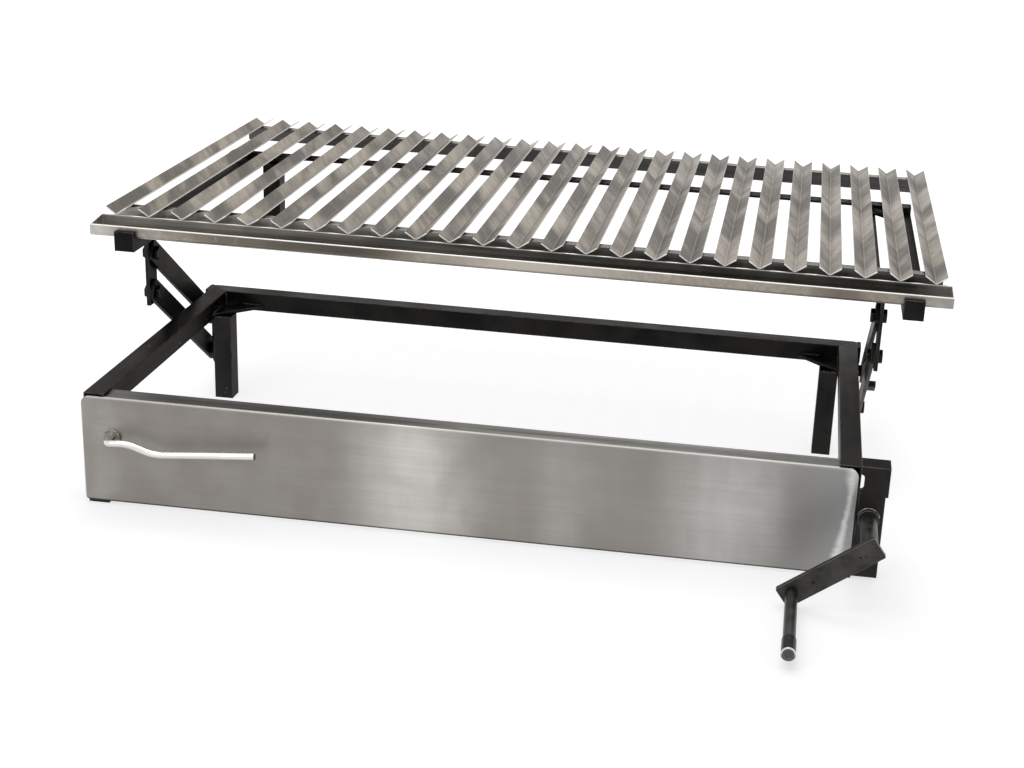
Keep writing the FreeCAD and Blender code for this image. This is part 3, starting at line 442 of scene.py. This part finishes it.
def tray_sheet():
    """The tray's sheet: mottled brown-grey outside, darker inside as painted shade and streaked,
    ground ends with painted reflections, and painted highlights on the rim and edges.
    """
    material, tree, shader, place = new_finish("tray_sheet")
    parts = split(tree, place)
    grain = use_group(tree, cloudy_patches, Place=place, Size=0.006, Low=0.36, High=0.64)[0]
    mottle = use_group(tree, cloudy_patches, Place=place, Size=0.035, Low=0.34, High=0.66)[0]
    stains = use_group(tree, cloudy_patches, Place=place, Size=0.24, Low=0.42, High=0.58)[0]
    streaks = use_group(tree, brushed_lines, Place=place, Stretch=(2.5, 60.0, 230.0))[0]
    scratches = use_group(tree, hair_scratches, Place=place, Stretch=(12.0, 60.0, 60.0),
                          Width=0.003, Share=0.45)[0]
    eased = use_group(tree, eased_edges, Place=place, Radius=0.0009, Rubbed=0.95)
    base = tint(tree, stains, colour(0.145, 0.128, 0.106), colour(0.355, 0.320, 0.276))
    base = cover(tree, base, mottle, 0.35, colour(0.215, 0.194, 0.166))
    base = cover(tree, base, grain, 0.35, colour(0.170, 0.150, 0.125))
    base = cover(tree, base, scratches, 0.3, colour(0.48, 0.455, 0.42))
    # Painted shade inside the tray: darker, streaked along its length, and darker still towards
    # the right.
    inside = times(tree, spread(tree, parts[1], TRAY_FRONT + 0.0003, TRAY_FRONT + 0.0009),
                   spread(tree, parts[1], TRAY_BACK + 0.0003, TRAY_BACK - 0.0003))
    streaked = tint(tree, streaks, colour(0.120, 0.112, 0.101), colour(0.52, 0.50, 0.465))
    streaked = tint(tree, spread(tree, parts[0], -0.30, 0.05, 0.0, 0.65), streaked,
                    colour(0.035, 0.033, 0.030))
    base = cover(tree, base, inside, 0.9, streaked)
    front = spread(tree, parts[1], TRAY_FRONT + 0.0006, TRAY_FRONT + 0.0001)
    # Painted sheen: a paler band across the middle of the front face.
    pale = times(tree, soft_band(tree, parts[0], 0.02, 0.19), front)
    base = cover(tree, base, pale, 0.6, colour(0.56, 0.522, 0.468))
    # Painted shade: the upper part of the front face is dark under the lip, on the left.
    under_lip_shade = times(tree, soft_band(tree, parts[0], -0.225, 0.15),
                  times(tree, front, spread(tree, parts[2], 0.2868, 0.2895)))
    base = cover(tree, base, under_lip_shade, 0.75, colour(0.060, 0.053, 0.043))
    # The ends are ground; their light and dark mottle is painted reflection.
    ends = spread(tree, maths(tree, "ABSOLUTE", parts[0]), 0.490, 0.528)
    base = cover(tree, base, ends, 0.75,
                 tint(tree, mottle, colour(0.30, 0.293, 0.28), colour(0.60, 0.585, 0.56)))
    # Painted highlight along the rim, which climbs from front to back.
    rise = minus(tree, parts[2], times(tree, parts[1], TRAY_CLIMB))
    rim = spread(tree, rise, *TRAY_RIM)
    base = cover(tree, base, rim, 0.85, colour(0.90, 0.88, 0.84))
    # Rubbed wear and painted highlight along the edges.
    base = cover(tree, base, eased["Edges"], 0.9, colour(0.92, 0.90, 0.86))
    rough = spread(tree, mottle, 0.0, 1.0, 0.44, 0.33)
    wire_finish(tree, shader, base, rough, plus(tree, streaks, grain), 0.00005, eased["Normal"])
    return material


def support_sheet(name, face, far_face, flange):
    """An angle under the slats, with its light and shade painted in: its face changes from left
    to right, its flange has one tone.
    """
    material, tree, shader, place = new_finish(name)
    mottle = use_group(tree, cloudy_patches, Place=place, Size=0.014, Low=0.36, High=0.64)[0]
    patches = use_group(tree, cloudy_patches, Place=place, Size=0.10, Low=0.38, High=0.62)[0]
    lines = use_group(tree, brushed_lines, Place=place, Stretch=(8.0, 260.0, 260.0))[0]
    eased = use_group(tree, eased_edges, Place=place, Radius=0.0007, Rubbed=0.85)
    out = facing(tree)
    top = spread(tree, out[2], 0.5, 0.8)
    across = split(tree, place)[0]
    # Painted light and shade: the face's tone from left to right, and the flange's own tone.
    base = tint(tree, spread(tree, across, -0.30, 0.10), face, far_face)
    base = tint(tree, top, base, flange)
    retoned = tint(tree, 0.5, base, colour(0.02, 0.019, 0.017))
    base = cover(tree, base, patches, 0.5, retoned)
    base = cover(tree, base, mottle, 0.25, retoned)
    base = cover(tree, base, lines, 0.10, colour(0.46, 0.44, 0.41))
    # Rubbed wear and painted highlight along the edges.
    base = cover(tree, base, eased["Edges"], 0.55, colour(0.60, 0.57, 0.53))
    rough = spread(tree, mottle, 0.0, 1.0, 0.44, 0.34)
    wire_finish(tree, shader, base, rough, plus(tree, lines, mottle), 0.00005, eased["Normal"])
    return material


def polished_rod():
    """Bright drawn rod of the lever, with fine draw lines, a few dull rubs and painted shade on
    its underside.
    """
    material, tree, shader, place = new_finish("polished_rod")
    lines = use_group(tree, brushed_lines, Place=place, Stretch=(12.0, 260.0, 260.0))[0]
    patches = use_group(tree, cloudy_patches, Place=place, Size=0.02, Low=0.4, High=0.7)[0]
    eased = use_group(tree, eased_edges, Place=place, Radius=0.0003, Rubbed=0.7)
    base = tint(tree, lines, colour(0.74, 0.725, 0.705), colour(0.81, 0.795, 0.775))
    base = cover(tree, base, patches, 0.25, colour(0.52, 0.50, 0.47))
    out = facing(tree)
    # Painted shade on the underside of the rod.
    under = spread(tree, out[2], 0.25, -0.65)
    base = cover(tree, base, under, 0.7, colour(0.25, 0.235, 0.22))
    cut_end = spread(tree, out[0], 0.90, 0.96)
    base = cover(tree, base, cut_end, 0.85, colour(0.13, 0.125, 0.12))
    rough = spread(tree, patches, 0.0, 1.0, 0.24, 0.36)
    wire_finish(tree, shader, base, rough, lines, 0.00002, eased["Normal"])
    return material


def crank_steel(name, stretch, marks=(), grip=None, flush=False, tone=1.0):
    """Bare dark bar of the crank: scuffs, punch marks, a darker grip, rubbed edges with painted
    highlight, and a painted highlight on the grip's rim.

    Each mark is a place and a radius. Grip is where the grip starts and ends, its axis and
    the radius of its bright rim. Flush says whether the bar is ground level with the shaft's
    end, where no edge shows."""
    material, tree, shader, place = new_finish(name)
    lines = use_group(tree, brushed_lines, Place=place, Stretch=stretch)[0]
    patches = use_group(tree, cloudy_patches, Place=place, Size=0.022, Low=0.36, High=0.66)[0]
    scratches = use_group(tree, hair_scratches, Place=place, Stretch=(16.0, 16.0, 60.0),
                          Width=0.004, Share=0.22)[0]
    specks = use_group(tree, small_specks, Place=place, Spacing=0.008, Size=0.08, Share=0.3)[0]
    eased = use_group(tree, eased_edges, Place=place, Radius=0.0010, Rubbed=0.85)
    base = tint(tree, patches, colour(0.027, 0.027, 0.027), colour(0.055, 0.053, 0.050))
    base = cover(tree, base, lines, 0.4, colour(0.082, 0.078, 0.073))
    base = cover(tree, base, scratches, 0.3, colour(0.12, 0.117, 0.112))
    base = cover(tree, base, specks, 0.6, colour(0.012, 0.012, 0.012))
    # Tone lightens the whole part: painted light.
    base = tint(tree, 1.0, base, colour(tone, tone, tone), "MULTIPLY")
    height = lines
    for across, back, up, size in marks:
        near = measure(tree, "DISTANCE", place, (across, back, up))
        mark = spread(tree, near, size, size * 0.6)
        base = cover(tree, base, mark, 0.8, colour(0.008, 0.008, 0.008))
        height = minus(tree, height, times(tree, mark, 5.0))
    if grip:
        start, end, axis, rim = grip
        parts = split(tree, place)
        held = spread(tree, parts[1], start + 0.4 * MM, start - 0.4 * MM)
        base = cover(tree, base, held, 0.65, colour(0.018, 0.018, 0.018))
        out_from = vector_maths(tree, "SUBTRACT", place, axis)
        away = measure(tree, "LENGTH", vector_maths(tree, "MULTIPLY", out_from, (1.0, 0.0, 1.0)))
        at_end = spread(tree, parts[1], end + 1.5 * MM, end + 1.1 * MM)
        base = cover(tree, base, at_end, 0.8, colour(0.115, 0.113, 0.110))
        # Painted highlight: the grip's bright rim, on its upper part only.
        upper = spread(tree, parts[2], axis[2] - 2.5 * MM, axis[2] + 1.5 * MM, 0.06, 1.0)
        ring = times(tree, spread(tree, away, rim - 1.6 * MM, rim - 0.9 * MM), upper)
        base = tint(tree, times(tree, at_end, ring), base, colour(0.76, 0.75, 0.73))
    edges, normal = eased["Edges"], eased["Normal"]
    if flush:
        near = measure(tree, "DISTANCE", place, SHAFT_END)
        ground = maths(tree, "LESS_THAN", near, SHAFT_END_RADIUS)
        edges = times(tree, edges, minus(tree, 1.0, ground))
        normal = put(tree, "Mix", {0: ground, 4: normal,
                                   5: put(tree, "NewGeometry").outputs["Normal"]},
                     data_type="VECTOR").outputs[1]
    # Rubbed wear and painted highlight along the edges, left out where the bar is ground flush.
    base = cover(tree, base, edges, 0.7, colour(0.26, 0.255, 0.245))
    rough = plus(tree, spread(tree, patches, 0.0, 1.0, 0.34, 0.45), times(tree, lines, 0.06))
    wire_finish(tree, shader, base, rough, height, 0.00008, normal)
    return material


def collar_metal():
    """The lever's collar: dull stainless, dark in front, with a painted highlight along the top
    of its rim.
    """
    material, tree, shader, place = new_finish("collar_metal")
    patches = use_group(tree, cloudy_patches, Place=place, Size=0.008, Low=0.38, High=0.62)[0]
    lines = use_group(tree, brushed_lines, Place=place, Stretch=(90.0, 300.0, 90.0))[0]
    eased = use_group(tree, eased_edges, Place=place, Radius=0.0009, Rubbed=0.9)
    out = facing(tree)
    base = tint(tree, patches, colour(0.13, 0.12, 0.108), colour(0.30, 0.28, 0.25))
    # Painted highlight on the upper front of the rim.
    upper = times(tree, spread(tree, out[2], 0.15, 0.75), spread(tree, out[1], -0.9, -0.6))
    base = cover(tree, base, upper, 0.8, colour(0.74, 0.70, 0.65))
    # Rubbed wear and painted highlight along the edges.
    base = cover(tree, base, eased["Edges"], 0.7, colour(0.66, 0.63, 0.59))
    rough = spread(tree, lines, 0.0, 1.0, 0.30, 0.42)
    wire_finish(tree, shader, base, rough, lines, 0.00004, eased["Normal"])
    return material


def weld_metal(name, dark, pale):
    """Weld beads and tacks, in patches of two tones."""
    material, tree, shader, place = new_finish(name)
    patches = use_group(tree, cloudy_patches, Place=place, Size=0.004, Low=0.35, High=0.65)[0]
    eased = use_group(tree, eased_edges, Place=place, Radius=0.0004, Rubbed=0.5)
    base = tint(tree, patches, dark, pale)
    rough = spread(tree, patches, 0.0, 1.0, 0.5, 0.36)
    wire_finish(tree, shader, base, rough, patches, 0.0001, eased["Normal"])
    return material


finishes = {
    # The black steel copies differ in the way their lines run, and in tone and sheen that paint
    # light and shade: the shaded copy is painted darker, the two lit copies get a brighter
    # painted sheen, and the upright copy is painted a little lighter.
    "across": black_steel("black_steel_across", (5.0, 160.0, 160.0)),
    "shaded": black_steel("black_steel_shaded", (160.0, 5.0, 160.0), tone=0.68),
    "retoned": black_steel("black_steel_lit", (130.0, 6.0, 130.0), tone=1.1, sheen=0.92),
    "lit_across": black_steel("black_steel_lit_across", (6.0, 130.0, 130.0), sheen=0.90),
    "upright": black_steel("black_steel_upright", (160.0, 160.0, 5.0), tone=1.15),
    "panel": panel_sheet(),
    "slat": slat_sheet(),
    "tray": tray_sheet(),
    # Painted light and shade: the front support's face is light at the left and darker to the
    # right under a dark flange, the rear support's face is dark under a light flange.
    "front_support": support_sheet("front_support_sheet", colour(0.74, 0.71, 0.67),
                                   colour(0.20, 0.19, 0.175), colour(0.170, 0.155, 0.138)),
    "rear_support": support_sheet("rear_support_sheet", colour(0.085, 0.084, 0.082),
                                  colour(0.085, 0.084, 0.082), colour(0.30, 0.28, 0.25)),
    "lever": polished_rod(),
    "bush": collar_metal(),
    "crank_arm": crank_steel("crank_arm_steel", (60.0, 60.0, 90.0),
                             marks=((0.4436, -0.3735, 0.0706, 0.0017),
                                    (0.3948, -0.3735, 0.0351, 0.0019)),
                             flush=True),
    # The shaft and the handle are painted lighter by their tone.
    "crank_bar": crank_steel("crank_bar_steel", (300.0, 12.0, 300.0), flush=True, tone=1.15),
    "handle": crank_steel("handle_steel", (300.0, 12.0, 300.0),
                          grip=(-481.5 * MM, -511.5 * MM, (0.3721, -0.5115, 0.0186),
                                8.0 * MM), tone=1.5),
    "bolt": black_steel("bolt_steel", (90.0, 90.0, 90.0), tone=0.9),
    "black_weld": weld_metal("black_weld", colour(0.016, 0.016, 0.016),
                             colour(0.085, 0.080, 0.074)),
    "bright_weld": weld_metal("bright_weld", colour(0.16, 0.15, 0.14),
                              colour(0.42, 0.40, 0.37)),
}

finish_of = {
    "across": ("base_braces", "front_cross_bar", "rear_cross_bar"),
    "lit_across": ("rear_beam",),
    "retoned": ("side_beam_right", "lower_arm_right", "upper_arm_right"),
    "shaded": ("side_beam_left", "rail_left", "rail_right", "carrier_braces", "tie_and_post",
             "lower_arm_left", "upper_arm_left"),
    "upright": ("front_leg_left", "front_leg_right", "rear_leg_left", "rear_leg_right",
                "rear_lug_left", "rear_lug_right", "front_lug_left", "front_lug_right",
                "crank_bracket"),
    "panel": ("front_panel",),
    "slat": tuple("slat_%02d" % number for number in range(1, SLAT_COUNT + 1)),
    "tray": ("grease_tray",),
    "front_support": ("front_support",),
    "rear_support": ("rear_support",),
    "lever": ("lever",),
    "bush": ("lever_bush",),
    "crank_arm": ("crank_arm",),
    "crank_bar": ("crank_shaft", "crank_bearing"),
    "handle": ("crank_handle",),
    "bolt": ("rear_pivot_bolts", "front_pivot_bolts"),
}
for finish, members in finish_of.items():
    for member in members:
        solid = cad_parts[member]
        solid.data.materials.clear()
        solid.data.materials.append(finishes[finish])


# ---------------------------------------------------------------- weld beads and spatter
def mm(across, back, up):
    """A point given in millimetres."""
    return Vector((across, back, up)) * MM


def add_bead(shell, route, radius, draw):
    """Lay one rippled weld bead along a route of points, tapered at its ends."""
    sides, ripple, stride = 8, 1.9 * MM, 0.55 * MM
    points = [Vector(point) for point in route]
    lengths = [0.0]
    for before, after in zip(points, points[1:]):
        lengths.append(lengths[-1] + (after - before).length)
    steps = max(6, int(lengths[-1] / stride))
    rings = []
    for number in range(steps + 1):
        gone = lengths[-1] * number / steps
        leg = max(i for i in range(len(points) - 1) if lengths[i] <= gone + 1e-9)
        way = points[leg + 1] - points[leg]
        centre = points[leg] + way * ((gone - lengths[leg]) / way.length)
        along = way.normalized()
        side = along.orthogonal().normalized()
        over = along.cross(side)
        size = radius * (0.80 + 0.20 * abs(math.cos(math.pi * gone / ripple)))
        size *= 1.0 + draw.uniform(-0.06, 0.06)
        size *= min(1.0, 0.45 + 0.55 * min(gone, lengths[-1] - gone) / radius)
        rings.append([shell.verts.new(centre + size * (side * math.cos(turn)
                                                       + over * math.sin(turn)))
                      for turn in (2 * math.pi * k / sides for k in range(sides))])
    for first, second in zip(rings, rings[1:]):
        for k in range(sides):
            shell.faces.new((first[k], first[(k + 1) % sides],
                             second[(k + 1) % sides], second[k]))
    shell.faces.new(list(reversed(rings[0])))
    shell.faces.new(rings[-1])


def arc_route(centre, radius, first, last):
    """Points of an arc that faces the front, between two angles in degrees."""
    count = 24
    turns = (math.radians(first + (last - first) * k / (count - 1)) for k in range(count))
    return [Vector(centre) + radius * Vector((math.cos(turn), 0.0, math.sin(turn)))
            for turn in turns]


def add_dot(shell, centre, outward, radius, rise):
    """One flattened droplet on a face that looks outward."""
    turn = Vector(outward).to_track_quat("Z", "Y").to_matrix().to_4x4()
    place = Matrix.Translation(centre) @ turn @ Matrix.Diagonal((radius, radius, rise, 1.0))
    bmesh.ops.create_icosphere(shell, subdivisions=2, radius=1.0, matrix=place)


def keep_piece(name, shell, body, finish):
    """Turn a shell into a piece that rides on a body."""
    mesh = bpy.data.meshes.new(name)
    bmesh.ops.recalc_face_normals(shell, faces=shell.faces[:])
    shell.to_mesh(mesh)
    shell.free()
    for face in mesh.polygons:
        face.use_smooth = True
    mesh.materials.append(finishes[finish])
    piece = bpy.data.objects.new(name, mesh)
    bpy.context.scene.collection.objects.link(piece)
    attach(piece, body)


def lay_beads(name, seams, radius, body, finish, seed):
    """Keep several straight beads, given in millimetres, as one piece."""
    draw = random.Random(seed)
    shell = bmesh.new()
    for start, end in seams:
        add_bead(shell, (mm(*start), mm(*end)), radius * MM, draw)
    keep_piece(name, shell, body, finish)


# Each seam runs between two points in millimetres.
base_seams = []
for outer, inner in ((-480.0, -455.0), (440.0, 415.0)):
    low, high = min(outer, inner) + 1.0, max(outer, inner) - 1.0
    base_seams += [
        ((low, -256.5, 116.0), (high, -256.5, 116.0)),
        ((inner, -280.0, 116.0), (inner, -258.0, 116.0)),
        ((inner, 143.5, 117.5), (inner, 143.5, 139.5)),
    ]
for outer in (-480.0, 440.0):
    base_seams.append(((outer, 143.5, 118.0), (outer, 143.5, 139.0)))
for beam, turn, leg_near, leg_far in ((-455.0, 1, -454.0, -431.0), (415.0, -1, 391.0, 414.0)):
    base_seams += [
        ((leg_near, 114.5, 120.0), (leg_far, 114.5, 120.0)),
        ((leg_near, 89.5, 120.0), (leg_far, 89.5, 120.0)),
        ((beam + turn * 24.0, 143.5, 124.4), (beam + turn * 52.0, 143.5, 124.4)),
        ((beam, 92.0, 124.4), (beam, 119.0, 124.4)),
    ]
lay_beads("base_welds", base_seams, 1.7, "base", "black_weld", 11)

carrier_seams = []
for inner, outer in ((-477.5, -502.5), (477.5, 502.5)):
    for back in (-31.8, -6.8):
        carrier_seams.append(((inner, back, 270.0), (inner, back, 292.0)))
    carrier_seams += [
        ((inner, -30.0, 268.5), (inner, -8.0, 268.5)),
        ((inner, -30.0, 293.5), (inner, -8.0, 293.5)),
        ((inner, 308.0, 299.7), (inner, 325.0, 299.7)),
    ]
for near, far in ((-499.8, -494.8), (454.8, 459.8)):
    carrier_seams += [((near, -31.0, 268.5), (near, -8.0, 268.5)),
                      ((far, -31.0, 268.5), (far, -8.0, 268.5))]
lay_beads("carrier_welds", carrier_seams, 1.6, "carrier", "black_weld", 12)

# A bright weld bead over the top of the bearing sleeve only, where the highlight falls: part
# weld, part painted highlight.
ring_shell = bmesh.new()
add_bead(ring_shell, arc_route(mm(453.0, -281.6, 77.4), 12.6 * MM, 8.0, 168.0), 1.0 * MM,
         random.Random(13))
keep_piece("bearing_weld_and_highlight", ring_shell, "base", "bright_weld")

tacks = bmesh.new()
tack_draw = random.Random(14)
for number in range(SLAT_COUNT):
    fold = (number - (SLAT_COUNT - 1) / 2) * SLAT_PITCH
    for side in (-1, 1):
        across = fold + side * 8.0 * MM
        for face in (-55.5, 463.5):
            centre = Vector((across + tack_draw.uniform(-0.4, 0.4) * MM, (face + 0.3) * MM,
                             309.0 * MM))
            add_dot(tacks, centre, (0.0, -0.5, 1.0), 1.7 * MM, 1.0 * MM)
keep_piece("slat_tacks", tacks, "grate", "bright_weld")

spatter = bmesh.new()
spatter_draw = random.Random(15)
for count, box_low, box_high, outward in (
        (3, (-450.0, 89.5, 6.0), (-438.0, 89.5, 16.0), (0, -1, 0)),
        (4, (-478.0, -120.0, 141.0), (-457.0, 60.0, 141.0), (0, 0, 1)),
        (4, (-455.0, -60.0, 120.0), (-455.0, 110.0, 138.0), (1, 0, 0))):
    for _ in range(count):
        centre = mm(*(spatter_draw.uniform(low, high) for low, high in zip(box_low, box_high)))
        add_dot(spatter, centre, outward, spatter_draw.uniform(0.5, 1.0) * MM, 0.4 * MM)
keep_piece("spatter", spatter, "base", "bright_weld")

nubs = bmesh.new()
add_dot(nubs, mm(-453.2, -287.0, 91.0), (-1.0, -0.3, 0.2), 1.5 * MM, 1.2 * MM)
add_dot(nubs, mm(-444.0, -287.4, 79.9), (0.1, -0.3, -1.0), 1.6 * MM, 1.1 * MM)
keep_piece("collar_tacks", nubs, "base", "bright_weld")


# ---------------------------------------------------------------- studio
def studio_floor():
    """Pale floor that glows, so that it reads as white around the soft contact shadows.

    The camera sees the glow rise from front to back, metal mirrors it evenly."""
    bpy.ops.mesh.primitive_plane_add(size=60.0)
    floor = bpy.context.object
    floor.name = "floor"
    material = bpy.data.materials.new("floor_paper")
    material.use_nodes = True
    tree = material.node_tree
    shader = tree.nodes["Principled BSDF"]
    shader.inputs["Roughness"].default_value = 0.9
    shader.inputs["Specular IOR Level"].default_value = 0.1
    place = put(tree, "TexCoord").outputs["Object"]
    grain = put(tree, "TexNoise", {"Vector": place, "Scale": 900.0, "Detail": 2.0})
    away = measure(tree, "LENGTH", place)
    tree.links.new(tint(tree, grain.outputs[0], colour(0.41, 0.41, 0.40),
                        colour(0.44, 0.44, 0.43)), shader.inputs["Base Color"])
    path = put(tree, "LightPath").outputs
    mirrored = maths(tree, "MAXIMUM", path["Is Glossy Ray"], path["Is Transmission Ray"])
    back = split(tree, place)[1]
    # Painted light: the glow is higher under and behind the grill, where the floor lies in its
    # shade.
    near = spread(tree, back, *FLOOR_RISE, FLOOR_FRONT, FLOOR_BACK, "SMOOTHSTEP")
    far = spread(tree, away, *FLOOR_FADE)
    glow = plus(tree, near, times(tree, far, minus(tree, 1.0, near)))
    direct = times(tree, path["Is Camera Ray"], glow)
    even = times(tree, mirrored, spread(tree, away, *FLOOR_FADE, FLOOR_MIRRORED, 1.0))
    tree.links.new(plus(tree, direct, even), shader.inputs["Emission Strength"])
    shader.inputs["Emission Color"].default_value = colour(0.985, 0.982, 1.0)
    floor.data.materials.append(material)


def studio_light():
    """White surround, brighter to the camera and in metal than as light, and soft lamps."""
    world = bpy.data.worlds.new("white_surround")
    bpy.context.scene.world = world
    world.use_nodes = True
    tree = world.node_tree
    sky = tree.nodes["Background"]
    path = put(tree, "LightPath").outputs
    mirrored = maths(tree, "MAXIMUM", path["Is Glossy Ray"], path["Is Transmission Ray"])
    seen = maths(tree, "MAXIMUM", path["Is Camera Ray"], mirrored)
    sky.inputs["Color"].default_value = WHITE
    tree.links.new(spread(tree, seen, 0.0, 1.0, SURROUND_LIGHT, SURROUND_SEEN),
                   sky.inputs["Strength"])
    for name, sides, watts, place, aim in (
            ("lamp_overhead", (2.6, 2.2), 42.0, (-0.2, 0.1, 2.5), (0.0, 0.1, 0.0)),
            ("lamp_front_left", (1.2, 1.2), 6.5, (-1.6, -2.2, 1.7), (0.0, 0.0, 0.1))):
        data = bpy.data.lights.new(name, "AREA")
        data.shape = "RECTANGLE"
        data.size, data.size_y = sides
        data.energy = watts
        lamp = bpy.data.objects.new(name, data)
        lamp.location = place
        lamp.rotation_euler = (Vector(aim) - Vector(place)).to_track_quat("-Z", "Y").to_euler()
        bpy.context.scene.collection.objects.link(lamp)


def photo_camera():
    """Camera at the photograph's angle, fitted to the object's edges."""
    data = bpy.data.cameras.new("camera")
    data.lens = 58.62
    data.shift_x, data.shift_y = -0.1165, -0.0133
    camera = bpy.data.objects.new("camera", data)
    place = (0.3358, -2.0503, 0.8724)
    yaw, pitch, roll = (math.radians(turn) for turn in (5.36, -19.84, -3.41))
    camera.matrix_world = (Matrix.Translation(place)
                           @ Matrix.Rotation(yaw, 4, "Z") @ Matrix.Rotation(pitch, 4, "X")
                           @ Matrix.Rotation(roll, 4, "Y")
                           @ Matrix.Rotation(math.radians(90.0), 4, "X"))
    bpy.context.scene.collection.objects.link(camera)
    bpy.context.scene.camera = camera


studio_floor()
studio_light()
photo_camera()
bpy.context.scene.view_settings.view_transform = "Standard"
